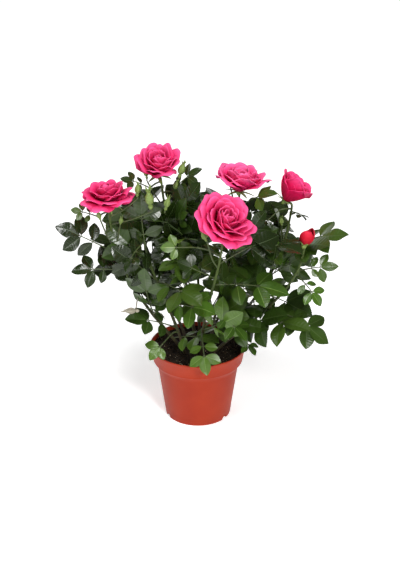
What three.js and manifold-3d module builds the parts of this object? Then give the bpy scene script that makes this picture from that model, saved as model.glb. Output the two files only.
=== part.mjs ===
// A patio rose in a plastic pot: a clump of canes with side boughs, masses of foliage,
// five open blooms and one opening bud. Millimetres, +Z up. The origin is the centre of
// the pot's flat underside, the front of the plant looks along -Y, and +X is its right.
import * as THREE from 'three';
import { mergeVertices } from 'three/addons/utils/BufferGeometryUtils.js';
import Module from 'manifold-3d';

const wasm = await Module();
wasm.setup();

// ---- Driving dimensions ----------------------------------------------------------------

const GAP = 0.3; // clear distance between neighbouring solids

const POT_HEIGHT = 96;
const RIM_RADIUS = 60; // a pot sold as 12 cm
const BAND_RADIUS = 56.5; // lower edge of the rim band
const BAND_HEIGHT = 20;
const SHOULDER_HEIGHT = 6; // rounded step from the body out to the band
const BODY_RADIUS = 51.8; // top of the body, under the shoulder
const FOOT_RADIUS = 41.6;
const POT_WALL = 1.2;
const POT_FLOOR = 1.5;
const POT_SEGMENTS = 36;
const SHOULDER_STEPS = 2;
const NOTCH_WIDTH = 9; // drain notches in the edge of the foot
const NOTCH_HEIGHT = 4.5;
const NOTCH_DEPTH = 7;
const NOTCH_ANGLES = [-35, 85, 205]; // degrees from +X

const SOIL_TOP = 93.5; // level of the peat where the canes leave it
const SOIL_FALL = 2.5; // drop from there to the wall of the pot
const SOIL_ROUGHNESS = 1.1;
const SOIL_FLAT_RADIUS = 34; // even ground round the canes
const SOIL_RINGS = 2;

const CANE_RADIUS = 2;
const CANE_TIP_SHARE = 0.62; // radius at the tip as a share of the radius at the foot
const CANE_SIDES = 6;
const CANE_STEPS = 8;
const CANE_LOW_BEND = 0.4; // where a cane turns up, as a share of its height
const CANE_TOP_BEND = 0.35; // straight rise below the tip, as a share of its height
const BOUGH_RADIUS = 1.3;
const BOUGH_TIP_SHARE = 0.7;
const BOUGH_RISE = 0.08; // how far a bough arches, as a share of its length
const BOUGH_SIDES = 5;
const BOUGH_STEPS = 3;

// Canes leave the soil at `foot`, lean out, and turn up to `tip`. `lean` is the share of the
// sideways way that the cane covers in its lower part, and `into` is what it carries.
const CANES = [
  { name: 'cane_left', foot: [-19, -8], tip: [-104, -30, 306], lean: 0.75, into: 'bloom_left' },
  { name: 'cane_left_inner', foot: [-16, -20], tip: [-72, -30, 300], lean: 0.35, into: 'leaves_left_top' },
  { name: 'cane_top_left', foot: [-4, 4], tip: [-45, 25, 325], lean: 0.05, into: 'bloom_top_left' },
  { name: 'cane_centre', foot: [4, -22], tip: [29, -86, 297], lean: 0.1, into: 'bloom_centre' },
  { name: 'cane_top_right', foot: [15, -2], tip: [51, 30, 304], lean: 0.3, into: 'bloom_top_right' },
  { name: 'cane_right', foot: [24, 9], tip: [113, 14, 296], lean: 0.8, into: 'bloom_right' },
  { name: 'cane_red_bud', foot: [18, -18], tip: [125, -45, 256], lean: 0.6, into: 'bud_red' },
  { name: 'cane_back_left', foot: [-14, 16], tip: [-76, 70, 262], lean: 0.5, into: 'leaves_back_left' },
  { name: 'cane_back', foot: [2, 21], tip: [-2, 92, 268], lean: 0.35, into: 'leaves_back' },
  { name: 'cane_back_right', foot: [14, 20], tip: [80, 72, 258], lean: 0.5, into: 'leaves_back_right' },
];

// Blooms: middle, the way each one faces, half of its width, and its depth front to back.
const BLOOMS = [
  { name: 'bloom_left', middle: [-106, -30, 304], facing: [-0.1, 0, 1], radius: 32, depth: 35 },
  { name: 'bloom_top_left', middle: [-47, 25, 321], facing: [0, -0.35, 1], radius: 26, depth: 44 },
  { name: 'bloom_top_right', middle: [51, 30, 301], facing: [0.1, 0.2, 1], radius: 33, depth: 31 },
  { name: 'bloom_centre', middle: [30, -88, 297], facing: [0.4, -0.48, 0.8], radius: 34, depth: 42 },
  { name: 'bloom_right', middle: [111, 14, 294], facing: [0.58, 0.1, 0.8], radius: 22, depth: 44 },
  { name: 'bud_red', middle: [126, -46, 259], facing: [0.2, -0.1, 1], radius: 9, depth: 25 },
];

// Foliage masses: where the bough enters, the furthest tip, width and thickness across that
// line, and how far the tip droops below it.
const MASSES = [
  { name: 'leaves_left_tip', from: [-98, -26, 262], to: [-165, -38, 276], across: [42, 24], droop: 4 },
  { name: 'leaves_left_high', from: [-108, -38, 274], to: [-147, -38, 294], across: [34, 20], droop: 2 },
  { name: 'leaves_left_low_tip', from: [-80, -24, 236], to: [-149, -44, 221], across: [40, 24], droop: 4 },
  { name: 'leaves_left_inner', from: [-94, -34, 272], to: [-68, -60, 222], across: [52, 34], droop: 2 },
  { name: 'leaves_left_low', from: [-28, -20, 174], to: [-87, -44, 157], across: [62, 28], droop: 3 },
  { name: 'leaves_left_top', from: [-60, -26, 254], to: [-68, -30, 312], across: [48, 34], droop: 0 },
  { name: 'leaves_crown_left', from: [-52, 22, 290], to: [-92, 12, 314], across: [34, 24], droop: 2 },
  { name: 'leaves_crown', from: [-36, 10, 262], to: [4, 16, 324], across: [60, 40], droop: 0 },
  { name: 'leaves_centre', from: [-26, -6, 218], to: [-16, -22, 290], across: [62, 44], droop: 0 },
  { name: 'leaves_centre_front', from: [4, -50, 254], to: [-42, -82, 266], across: [40, 26], droop: 3 },
  { name: 'leaves_centre_low', from: [12, -34, 246], to: [4, -88, 200], across: [72, 32], droop: 4 },
  { name: 'leaves_right_front', from: [54, -36, 256], to: [118, -80, 264], across: [48, 30], droop: 5 },
  { name: 'leaves_right_top', from: [80, 2, 248], to: [92, -6, 302], across: [40, 34], droop: 0 },
  { name: 'leaves_right_high', from: [96, 6, 252], to: [137, 2, 274], across: [44, 24], droop: 2 },
  { name: 'leaves_right_tip', from: [110, -18, 242], to: [175, -34, 266], across: [46, 24], droop: 4 },
  { name: 'leaves_right_middle', from: [96, -26, 236], to: [164, -54, 232], across: [46, 24], droop: 4 },
  { name: 'leaves_right_hanging', from: [100, -40, 232], to: [146, -72, 180], across: [56, 24], droop: 2 },
  { name: 'leaves_right_low_tip', from: [88, -40, 194], to: [157, -68, 136], across: [46, 24], droop: 2 },
  { name: 'leaves_right_inner', from: [54, -28, 218], to: [98, -62, 146], across: [54, 30], droop: 2 },
  { name: 'leaves_front_low', from: [24, -42, 206], to: [58, -86, 150], across: [52, 28], droop: 2 },
  { name: 'leaves_foot_front', from: [4, -36, 142], to: [11, -80, 98], across: [44, 16], droop: 2 },
  { name: 'leaves_foot_left', from: [-20, -30, 134], to: [-58, -62, 110], across: [42, 16], droop: 3 },
  { name: 'leaves_foot_right', from: [26, -26, 134], to: [70, -54, 112], across: [36, 16], droop: 3 },
  { name: 'leaves_side_left', from: [-56, 12, 210], to: [-132, 34, 232], across: [54, 30], droop: 5 },
  { name: 'leaves_side_right', from: [70, 18, 212], to: [148, 36, 222], across: [56, 30], droop: 5 },
  { name: 'leaves_back_left', from: [-40, 44, 236], to: [-112, 98, 262], across: [72, 40], droop: 6 },
  { name: 'leaves_back', from: [0, 54, 242], to: [-4, 134, 260], across: [88, 42], droop: 8 },
  { name: 'leaves_back_right', from: [46, 46, 234], to: [114, 100, 256], across: [72, 40], droop: 6 },
  { name: 'leaves_back_low_left', from: [-26, 36, 166], to: [-78, 104, 172], across: [60, 30], droop: 6 },
  { name: 'leaves_back_low_right', from: [26, 38, 166], to: [82, 104, 168], across: [60, 30], droop: 6 },
];

// Boughs leave a cane at a share of its length and run into a mass.
const BOUGHS = [
  { name: 'bough_left_tip', cane: 'cane_left', at: 0.62, into: 'leaves_left_tip' },
  { name: 'bough_left_low_tip', cane: 'cane_left', at: 0.52, into: 'leaves_left_low_tip' },
  { name: 'bough_left_low', cane: 'cane_left', at: 0.22, into: 'leaves_left_low' },
  { name: 'bough_side_left', cane: 'cane_back_left', at: 0.5, into: 'leaves_side_left' },
  { name: 'bough_right_front', cane: 'cane_top_right', at: 0.52, into: 'leaves_right_front' },
  { name: 'bough_right_tip', cane: 'cane_right', at: 0.6, into: 'leaves_right_tip' },
  { name: 'bough_right_middle', cane: 'cane_red_bud', at: 0.72, into: 'leaves_right_middle' },
  { name: 'bough_right_low', cane: 'cane_red_bud', at: 0.42, into: 'leaves_right_low_tip' },
  { name: 'bough_front_low', cane: 'cane_centre', at: 0.3, into: 'leaves_front_low' },
  { name: 'bough_side_right', cane: 'cane_right', at: 0.4, into: 'leaves_side_right' },
  { name: 'bough_back_low_left', cane: 'cane_back', at: 0.2, into: 'leaves_back_low_left' },
  { name: 'bough_back_low_right', cane: 'cane_back_right', at: 0.2, into: 'leaves_back_low_right' },
];

// ---- Materials -------------------------------------------------------------------------

const potMaterial = new THREE.MeshStandardMaterial({ color: '#b14229', roughness: 0.5, metalness: 0 });
const soilMaterial = new THREE.MeshStandardMaterial({ color: '#2e2419', roughness: 1, metalness: 0 });
const caneMaterial = new THREE.MeshStandardMaterial({ color: '#5f6a35', roughness: 0.6, metalness: 0 });
const leafMaterial = new THREE.MeshStandardMaterial({ color: '#40502a', roughness: 0.4, metalness: 0 });
const petalMaterial = new THREE.MeshStandardMaterial({ color: '#dc3c74', roughness: 0.6, metalness: 0 });

// ---- Small helpers ---------------------------------------------------------------------

const plant = new THREE.Group();
const UP = new THREE.Vector3(0, 0, 1);

function addPiece(name, geometry, material) {
  const mesh = new THREE.Mesh(geometry, material);
  mesh.name = name;
  plant.add(mesh);
}

// Repeatable random numbers from 0 to 1.
function makeRandom(seed) {
  let state = seed * 2654435761 % 4294967296;
  return () => {
    state = (state * 1664525 + 1013904223) % 4294967296;
    return state / 4294967296;
  };
}

function weld(geometry) {
  geometry.deleteAttribute('normal');
  geometry.deleteAttribute('uv');
  return mergeVertices(geometry, 1e-4);
}

function toSolid(geometry) {
  const vertProperties = new Float32Array(geometry.attributes.position.array);
  const triVerts = new Uint32Array(geometry.index.array);
  return new wasm.Manifold(new wasm.Mesh({ numProp: 3, vertProperties, triVerts }));
}

function toGeometry(solid) {
  const mesh = solid.getMesh();
  const geometry = new THREE.BufferGeometry();
  geometry.setAttribute('position', new THREE.BufferAttribute(new Float32Array(mesh.vertProperties), 3));
  geometry.setIndex(new THREE.BufferAttribute(new Uint32Array(mesh.triVerts), 1));
  return geometry;
}

// A right-handed set of axes whose z runs along the given direction.
function axesAlong(direction) {
  const z = direction.clone().normalize();
  const x = new THREE.Vector3().crossVectors(UP, z);
  if (x.lengthSq() < 1e-6) x.set(1, 0, 0);
  x.normalize();
  const y = new THREE.Vector3().crossVectors(z, x);
  return { x, y, z };
}

// ---- Pot and soil ----------------------------------------------------------------------

// Half section of the pot's wall from the foot up to the rim, drawn in by `inset`.
function wallOutline(inset, bottom, top) {
  const bandBottom = POT_HEIGHT - BAND_HEIGHT;
  const bodyTop = bandBottom - SHOULDER_HEIGHT;
  const rimSlope = (RIM_RADIUS - BAND_RADIUS) / BAND_HEIGHT;
  const topRadius = RIM_RADIUS - rimSlope * (POT_HEIGHT - top);
  const points = [new THREE.Vector2(FOOT_RADIUS - inset, bottom)];
  for (let i = 0; i <= SHOULDER_STEPS; i += 1) {
    const turn = (i / SHOULDER_STEPS) * Math.PI / 2;
    const radius = BODY_RADIUS + (BAND_RADIUS - BODY_RADIUS) * Math.sin(turn);
    const height = bodyTop + SHOULDER_HEIGHT * (1 - Math.cos(turn));
    points.push(new THREE.Vector2(radius - inset, height));
  }
  points.push(new THREE.Vector2(topRadius - inset, top));
  return points;
}

function buildPot() {
  const outside = wallOutline(0, 0, POT_HEIGHT);
  const inside = wallOutline(POT_WALL, POT_FLOOR, POT_HEIGHT).reverse();
  const axisBottom = new THREE.Vector2(0, 0);
  const axisFloor = new THREE.Vector2(0, POT_FLOOR);
  const profile = [axisBottom, ...outside, ...inside, axisFloor];
  const shell = new THREE.LatheGeometry(profile, POT_SEGMENTS);
  shell.rotateX(Math.PI / 2);
  let pot = toSolid(weld(shell));
  for (const angle of NOTCH_ANGLES) {
    const notch = new THREE.BoxGeometry(NOTCH_DEPTH * 2, NOTCH_WIDTH, NOTCH_HEIGHT * 2);
    notch.translate(FOOT_RADIUS, 0, 0);
    notch.rotateZ(THREE.MathUtils.degToRad(angle));
    pot = pot.subtract(toSolid(weld(notch)));
  }
  addPiece('pot', toGeometry(pot), potMaterial);
}

// The peat fills the pot to just under its rim, with a crumbly top.
function buildSoil() {
  const edgeHeight = SOIL_TOP - SOIL_FALL;
  const outline = wallOutline(POT_WALL + GAP, POT_FLOOR + GAP, edgeHeight);
  const edgeRadius = outline[outline.length - 1].x;
  const profile = [new THREE.Vector2(0, POT_FLOOR + GAP), ...outline];
  for (let i = 1; i <= SOIL_RINGS; i += 1) {
    const share = 1 - i / SOIL_RINGS;
    const beyondFlat = Math.max(0, edgeRadius * share - SOIL_FLAT_RADIUS);
    const fall = SOIL_FALL * beyondFlat / (edgeRadius - SOIL_FLAT_RADIUS);
    profile.push(new THREE.Vector2(edgeRadius * share, SOIL_TOP - fall));
  }
  const geometry = new THREE.LatheGeometry(profile, POT_SEGMENTS);
  geometry.rotateX(Math.PI / 2);
  const soil = weld(geometry);
  const random = makeRandom(11);
  const position = soil.attributes.position;
  for (let i = 0; i < position.count; i += 1) {
    const radius = Math.hypot(position.getX(i), position.getY(i));
    const onTop = position.getZ(i) > edgeHeight + 0.01;
    if (onTop && radius > SOIL_FLAT_RADIUS) {
      position.setZ(i, position.getZ(i) + SOIL_ROUGHNESS * (random() - 0.5));
    }
  }
  addPiece('soil', soil, soilMaterial);
}

// ---- Uneven solids: foliage masses and blooms ------------------------------------------

const BALL_DETAIL = 3;
const BODY_SHARE = 0.74; // how full a mass is between its lobes
const LOBE_SHARE = 1.01; // how far a lobe reaches
const LOBE_COUNT = 9;
const LOBE_WIDTH = 0.16;
const LOBE_BELT = 0.8; // side lobes keep this near to the middle of the length
const WAIST = 0.42; // how far a bloom is drawn in to its calyx
const RIM_WAVE = 0.07; // unevenness of a bloom's rim

// Lobes stand out where sprays end. The first one is always the furthest tip.
function massShape(row, seed) {
  const random = makeRandom(seed);
  const from = new THREE.Vector3(...row.from);
  const to = new THREE.Vector3(...row.to);
  const along = new THREE.Vector3().subVectors(to, from);
  const half = new THREE.Vector3(row.across[0] / 2, row.across[1] / 2, along.length() / 2);
  const lobes = [new THREE.Vector3(0, 0, 1), new THREE.Vector3(0, 0, -1)];
  while (lobes.length < LOBE_COUNT) {
    const turn = random() * 2 * Math.PI;
    const height = (random() * 2 - 1) * LOBE_BELT;
    const flat = Math.sqrt(1 - height * height);
    lobes.push(new THREE.Vector3(flat * Math.cos(turn), flat * Math.sin(turn), height));
  }
  return {
    centre: new THREE.Vector3().addVectors(from, to).multiplyScalar(0.5),
    axes: axesAlong(along),
    half,
    reach(direction) {
      let out = BODY_SHARE;
      for (const lobe of lobes) {
        const near = Math.exp((direction.dot(lobe) - 1) / LOBE_WIDTH);
        out = Math.max(out, BODY_SHARE + (LOBE_SHARE - BODY_SHARE) * near);
      }
      return out;
    },
    sag: (height) => row.droop * Math.max(0, height),
  };
}

// A bloom is a deep cup: full at its face, drawn in to the calyx, with a wavy edge.
function bloomShape(row, seed) {
  const petals = 5 + (seed % 3);
  return {
    centre: new THREE.Vector3(...row.middle),
    axes: axesAlong(new THREE.Vector3(...row.facing)),
    half: new THREE.Vector3(row.radius, row.radius, row.depth / 2),
    reach(direction) {
      const turn = Math.atan2(direction.y, direction.x);
      const waist = 1 - WAIST * Math.pow(Math.max(0, -direction.z), 0.8);
      const rim = Math.hypot(direction.x, direction.y);
      return waist * (1 + RIM_WAVE * rim * Math.cos(petals * turn + seed));
    },
    sag: () => 0,
  };
}

// How far a shape reaches from its middle towards a point.
function extentTowards(shape, direction) {
  const x = direction.dot(shape.axes.x) / shape.half.x;
  const y = direction.dot(shape.axes.y) / shape.half.y;
  const z = direction.dot(shape.axes.z) / shape.half.z;
  return 1 / Math.sqrt(x * x + y * y + z * z);
}

const WALL_CLEARANCE = 0.2; // half of the gap between two masses

// Flat limits between one shape and each of its neighbours, so that no two overlap.
function wallsAround(name, shapes) {
  const shape = shapes.get(name);
  const walls = [];
  for (const [otherName, other] of shapes) {
    if (otherName === name) continue;
    const normal = new THREE.Vector3().subVectors(other.centre, shape.centre);
    const distance = normal.length();
    normal.normalize();
    const own = extentTowards(shape, normal);
    const theirs = extentTowards(other, normal);
    const spare = distance - own - theirs;
    const limit = own + spare / 2;
    walls.push({ normal, limit: limit - WALL_CLEARANCE });
  }
  return walls;
}

function solidGeometry(name, shapes) {
  const shape = shapes.get(name);
  const walls = wallsAround(name, shapes);
  const geometry = weld(new THREE.OctahedronGeometry(1, BALL_DETAIL));
  const position = geometry.attributes.position;
  const direction = new THREE.Vector3();
  const arm = new THREE.Vector3();
  for (let i = 0; i < position.count; i += 1) {
    direction.fromBufferAttribute(position, i).normalize();
    const reach = shape.reach(direction);
    arm.set(0, 0, 0);
    arm.addScaledVector(shape.axes.x, direction.x * shape.half.x * reach);
    arm.addScaledVector(shape.axes.y, direction.y * shape.half.y * reach);
    arm.addScaledVector(shape.axes.z, direction.z * shape.half.z * reach);
    arm.z -= shape.sag(direction.z);
    let share = 1;
    for (const wall of walls) {
      const towards = arm.dot(wall.normal);
      if (towards > wall.limit) share = Math.min(share, wall.limit / towards);
    }
    arm.multiplyScalar(share);
    position.setXYZ(i, shape.centre.x + arm.x, shape.centre.y + arm.y, shape.centre.z + arm.z);
  }
  return geometry;
}

// ---- Limbs -----------------------------------------------------------------------------

function caneCurve(row) {
  const foot = new THREE.Vector3(row.foot[0], row.foot[1], SOIL_TOP + GAP);
  const tip = new THREE.Vector3(...row.tip);
  const height = tip.z - foot.z;
  const lower = foot.clone().lerp(tip, row.lean);
  lower.z = foot.z + height * CANE_LOW_BEND;
  const upper = tip.clone();
  upper.z = tip.z - height * CANE_TOP_BEND;
  return new THREE.CubicBezierCurve3(foot, lower, upper, tip);
}

function boughCurve(row, cane, shapes) {
  const start = cane.getPoint(row.at);
  const target = shapes.get(row.into).centre;
  const way = new THREE.Vector3().subVectors(target, start);
  const along = cane.getTangent(row.at);
  const aside = way.clone().addScaledVector(along, -way.dot(along)).normalize();
  start.addScaledVector(aside, CANE_RADIUS + BOUGH_RADIUS + GAP);
  const bend = start.clone().lerp(target, 0.5);
  bend.addScaledVector(UP, way.length() * BOUGH_RISE);
  return new THREE.QuadraticBezierCurve3(start, bend, target);
}

const SEARCH_STEPS = 200;

// Share of the curve's length at which it comes up to a solid.
function entryShare(curve, solid, shape, clearance) {
  const caster = new THREE.Raycaster();
  const mesh = new THREE.Mesh(solid, new THREE.MeshBasicMaterial({ side: THREE.DoubleSide }));
  for (let i = 0; i <= SEARCH_STEPS; i += 1) {
    const share = i / SEARCH_STEPS;
    const point = curve.getPoint(share);
    const away = new THREE.Vector3().subVectors(point, shape.centre);
    const distance = away.length();
    caster.set(shape.centre, away.normalize());
    const hits = caster.intersectObject(mesh);
    const surface = hits.length ? hits[hits.length - 1].distance : 0;
    if (distance < surface + clearance) return share;
  }
  return 1;
}

const CANE_FORM = {
  radius: CANE_RADIUS, tipShare: CANE_TIP_SHARE, steps: CANE_STEPS, sides: CANE_SIDES, level: true,
};
const BOUGH_FORM = {
  radius: BOUGH_RADIUS, tipShare: BOUGH_TIP_SHARE, steps: BOUGH_STEPS, sides: BOUGH_SIDES, level: false,
};

// A tapering round limb along a curve, closed at both ends and `extra` thicker than its form.
// A level limb has a flat foot.
function limbGeometry(curve, end, form, extra) {
  const { steps, sides, level } = form;
  const startRadius = form.radius + extra;
  const endRadius = form.radius * form.tipShare + extra;
  const positions = [];
  const index = [];
  const side = new THREE.Vector3(1, 0, 0);
  for (let i = 0; i <= steps; i += 1) {
    const share = i / steps;
    const centre = curve.getPoint(share * end);
    const along = level && i === 0 ? UP.clone() : curve.getTangent(share * end);
    side.addScaledVector(along, -side.dot(along)).normalize();
    const across = new THREE.Vector3().crossVectors(along, side);
    const radius = startRadius + (endRadius - startRadius) * share;
    for (let j = 0; j < sides; j += 1) {
      const turn = (j / sides) * 2 * Math.PI;
      const point = centre.clone();
      point.addScaledVector(side, radius * Math.cos(turn));
      point.addScaledVector(across, radius * Math.sin(turn));
      positions.push(point.x, point.y, point.z);
    }
  }
  for (let i = 0; i < steps; i += 1) {
    for (let j = 0; j < sides; j += 1) {
      const a = i * sides + j;
      const b = i * sides + (j + 1) % sides;
      index.push(a, b, b + sides, a, b + sides, a + sides);
    }
  }
  const last = steps * sides;
  for (let j = 1; j < sides - 1; j += 1) {
    index.push(0, j + 1, j, last, last + j, last + j + 1);
  }
  const geometry = new THREE.BufferGeometry();
  geometry.setAttribute('position', new THREE.Float32BufferAttribute(positions, 3));
  geometry.setIndex(index);
  return geometry;
}

// ---- Assembly --------------------------------------------------------------------------

function biggestPart(solid) {
  const parts = solid.decompose();
  parts.sort((a, b) => b.volume() - a.volume());
  return parts[0];
}

buildPot();
buildSoil();

const shapes = new Map();
MASSES.forEach((row, i) => shapes.set(row.name, massShape(row, i + 1)));
BLOOMS.forEach((row, i) => shapes.set(row.name, bloomShape(row, i + 1)));

const solids = new Map();
for (const row of MASSES) solids.set(row.name, solidGeometry(row.name, shapes));
for (const row of BLOOMS) solids.set(row.name, solidGeometry(row.name, shapes));

const sleeves = []; // each limb a little thicker, to cut its way through the masses

function addLimb(row, curve, form) {
  const tipRadius = form.radius * form.tipShare;
  const end = entryShare(curve, solids.get(row.into), shapes.get(row.into), tipRadius + GAP);
  addPiece(row.name, limbGeometry(curve, end, form, 0), caneMaterial);
  sleeves.push(toSolid(limbGeometry(curve, end, form, 2 * GAP)));
}

const caneCurves = new Map();
for (const row of CANES) {
  const curve = caneCurve(row);
  caneCurves.set(row.name, curve);
  addLimb(row, curve, CANE_FORM);
}
for (const row of BOUGHS) addLimb(row, boughCurve(row, caneCurves.get(row.cane), shapes), BOUGH_FORM);

for (const [name, geometry] of solids) {
  let solid = toSolid(geometry);
  for (const sleeve of sleeves) {
    if (solid.intersect(sleeve).volume() > 0) solid = biggestPart(solid.subtract(sleeve));
  }
  const isBloom = BLOOMS.some((row) => row.name === name);
  addPiece(name, toGeometry(solid), isBloom ? petalMaterial : leafMaterial);
}

export default plant;
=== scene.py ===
# The looks of the potted patio rose: pot, peat, canes, compound leaves, buds and blooms,
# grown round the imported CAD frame. Metres, +Z up, the front of the plant looks along -Y.
import math

import bmesh
import bpy
import numpy as np
from mathutils import Matrix, Vector, noise


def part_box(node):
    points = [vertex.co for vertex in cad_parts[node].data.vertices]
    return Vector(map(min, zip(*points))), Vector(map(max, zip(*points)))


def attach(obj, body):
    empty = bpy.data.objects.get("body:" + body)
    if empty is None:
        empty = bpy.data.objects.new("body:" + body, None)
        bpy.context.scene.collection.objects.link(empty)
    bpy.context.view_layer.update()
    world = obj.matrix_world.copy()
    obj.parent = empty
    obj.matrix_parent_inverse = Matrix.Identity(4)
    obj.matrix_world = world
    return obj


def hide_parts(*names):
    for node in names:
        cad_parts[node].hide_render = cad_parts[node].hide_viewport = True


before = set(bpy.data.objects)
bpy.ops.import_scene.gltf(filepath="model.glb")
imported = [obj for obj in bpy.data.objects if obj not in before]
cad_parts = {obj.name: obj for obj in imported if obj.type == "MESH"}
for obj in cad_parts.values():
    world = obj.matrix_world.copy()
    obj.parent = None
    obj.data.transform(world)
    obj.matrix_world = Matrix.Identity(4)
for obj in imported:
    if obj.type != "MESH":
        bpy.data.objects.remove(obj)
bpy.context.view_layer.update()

MM = 0.001
UP = np.array([0.0, 0.0, 1.0])
GOLDEN_ANGLE = math.radians(137.508)

# ---- Plan of the plant ----

# CAD nodes by kind, read from the frame.
NODES = sorted(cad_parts)
CANES = [name for name in NODES if name.startswith("cane_")]
BOUGHS = [name for name in NODES if name.startswith("bough_")]
MASSES = [name for name in NODES if name.startswith("leaves_")]

CANE_SIDES = 6  # corners of each ring of the CAD canes
BOUGH_SIDES = 5  # and of each ring of the CAD boughs

# A cane or bough carries the bloom or else the mass of its own name, apart from these three.
ODD_LOADS = {
    "cane_left_inner": "leaves_left_top",
    "cane_red_bud": "bud_red",
    "bough_right_low": "leaves_right_low_tip",
}


def load_of(limb):
    """The bloom or the foliage mass that a cane or bough carries."""
    name = limb.split("_", 1)[1]
    usual = "bloom_" + name if "bloom_" + name in NODES else "leaves_" + name
    return ODD_LOADS.get(limb, usual)


LOADS = {limb: load_of(limb) for limb in CANES + BOUGHS}

# Blooms: the way each one faces, how far it has opened (0 to 1), its petals, and how far
# the tips of its outer petals flare beyond the usual, in degrees.
BLOOMS = {
    "bloom_left": dict(facing=(-0.1, 0, 1), opened=1.0, petals=30, hue="rose", flare=0),
    "bloom_top_left": dict(facing=(0, -0.35, 1), opened=0.74, petals=32, hue="rose", flare=35),
    "bloom_top_right": dict(facing=(0.1, 0.05, 1), opened=0.7, petals=28, hue="light", flare=38),
    "bloom_centre": dict(facing=(0.4, -0.48, 0.8), opened=0.88, petals=42, hue="rose", flare=5),
    "bloom_right": dict(facing=(0.58, 0.1, 0.8), opened=0.55, petals=20, hue="deep", flare=45),
    "bud_red": dict(facing=(0.2, -0.1, 1), opened=0.08, petals=9, hue="red", flare=0),
}

# Foliage: tone of green and leaves per mass where they differ from the usual.
DARK, MIDDLE, FRESH, YOUNG = range(4)
LEAF_ROOM = 8e-6  # cubic metres of a mass to each leaf
USUAL_STYLE = dict(tone=DARK, share=1.0, size=1.0, terminal=0.41, pairs=2)
THIN_TIP = dict(share=0.6, terminal=0.46)
FULL_TIP = dict(tone=MIDDLE, terminal=0.46)
FOOT_SPRIG = dict(tone=FRESH, share=0.6, size=0.75, terminal=0.45, pairs=1)
STYLES = {
    "leaves_left_tip": THIN_TIP,
    "leaves_left_low_tip": THIN_TIP,
    "leaves_left_low": dict(tone=MIDDLE, size=0.85),
    "leaves_centre_front": dict(tone=YOUNG, size=0.9, pairs=1),
    "leaves_right_top": dict(size=0.8, pairs=1),
    "leaves_right_front": dict(terminal=0.48, pairs=1),
    "leaves_right_tip": FULL_TIP,
    "leaves_right_middle": FULL_TIP,
    "leaves_right_hanging": dict(tone=FRESH, size=1.1, share=0.8),
    "leaves_right_low_tip": FULL_TIP,
    "leaves_right_inner": dict(tone=MIDDLE),
    "leaves_front_low": dict(tone=FRESH),
    "leaves_foot_front": dict(tone=FRESH, size=0.85, terminal=0.45),
    "leaves_foot_left": FOOT_SPRIG,
    "leaves_foot_right": FOOT_SPRIG,
    "leaves_back_low_left": dict(tone=MIDDLE),
    "leaves_back_low_right": dict(tone=MIDDLE),
}

FOLIAGE_SEED = 13

# Each foliage piece joins the sprays of the masses whose names start so and are still free.
FOLIAGE_PIECES = {
    "foliage_left": ("leaves_left",),
    "foliage_crown": ("leaves_crown", "leaves_centre"),
    "foliage_right": ("leaves_right", "leaves_front"),
    "foliage_sides": ("leaves_side", "leaves_back_low"),
    "foliage_foot": ("leaves_foot",),
    "foliage_back": ("leaves_back",),
}


# ---- Vector helpers ----


def unit(vector):
    return vector / max(np.linalg.norm(vector), 1e-12)


def square_to(vector, axis):
    """The part of vector that is square to a unit axis, made unit length."""
    return unit(vector - axis * float(np.dot(vector, axis)))


def turned(vector, axis, angle):
    """vector turned about a unit axis."""
    cosine, sine = math.cos(angle), math.sin(angle)
    along = axis * float(np.dot(vector, axis)) * (1 - cosine)
    return vector * cosine + np.cross(axis, vector) * sine + along


def distances(points, spot):
    return np.linalg.norm(points - spot, axis=1)


def nearest(points, spot):
    return points[np.argmin(distances(points, spot))]


def circle(sides):
    return np.linspace(0, 2 * math.pi, sides, endpoint=False)


def smooth_path(points, count):
    """Catmull-Rom curve through the points, resampled evenly by index."""
    points = np.asarray(points, float)
    first = 2 * points[0] - points[1]
    last = 2 * points[-1] - points[-2]
    guide = np.vstack([first, points, last])
    out = []
    for t in np.linspace(0, len(points) - 1 - 1e-9, count):
        i = int(t)
        f = t - i
        a, b, c, d = guide[i : i + 4]
        part = 2 * b + (c - a) * f + (2 * a - 5 * b + 4 * c - d) * f**2
        out.append(0.5 * (part + (3 * b - a - 3 * c + d) * f**3))
    return np.array(out)


# ---- Joined meshes ----


class Heap:
    """Gathers many small meshes of one kind into one mesh."""

    def __init__(self):
        self.points, self.faces, self.paints, self.values = [], [], [], []
        self.count = 0

    def add(self, points, faces, paints=0, values=None):
        """paints is one material number, or one for each face. values is one for each point."""
        points = np.asarray(points, float)
        self.points.append(points)
        self.faces.extend([tuple(corner + self.count for corner in face) for face in faces])
        if np.ndim(paints) == 0:
            paints = [paints] * len(faces)
        self.paints.extend(paints)
        if values is None:
            values = np.zeros(len(points))
        self.values.append(np.asarray(values, float))
        self.count += len(points)

    def build(self, name, materials, attribute=None):
        mesh = bpy.data.meshes.new(name)
        mesh.from_pydata(np.vstack(self.points).tolist(), [], self.faces)
        for material in materials:
            mesh.materials.append(material)
        mesh.polygons.foreach_set("material_index", self.paints)
        mesh.polygons.foreach_set("use_smooth", [True] * len(mesh.polygons))
        if attribute:
            layer = mesh.attributes.new(attribute, "FLOAT", "POINT")
            layer.data.foreach_set("value", np.concatenate(self.values))
        mesh.update()
        return new_object(name, mesh)


def new_object(name, data):
    """Puts a mesh, a light or a camera into the scene."""
    thing = bpy.data.objects.new(name, data)
    bpy.context.scene.collection.objects.link(thing)
    return thing


def grid_faces(rows, columns, wrap=False):
    """Four-sided faces of a grid of points stored row by row."""
    faces = []
    for i in range(rows - 1):
        for j in range(columns if wrap else columns - 1):
            a, b = i * columns + j, i * columns + (j + 1) % columns
            faces.append((a, b, b + columns, a + columns))
    return faces


def closed_faces(rings, sides):
    """Faces of rings of points that close at both ends on two points stored after the rings."""
    faces = grid_faces(rings, sides, wrap=True)
    count = rings * sides
    last = count - sides
    for j in range(sides):
        k = (j + 1) % sides
        faces += [(count, k, j), (count + 1, last + j, last + k)]
    return faces


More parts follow.
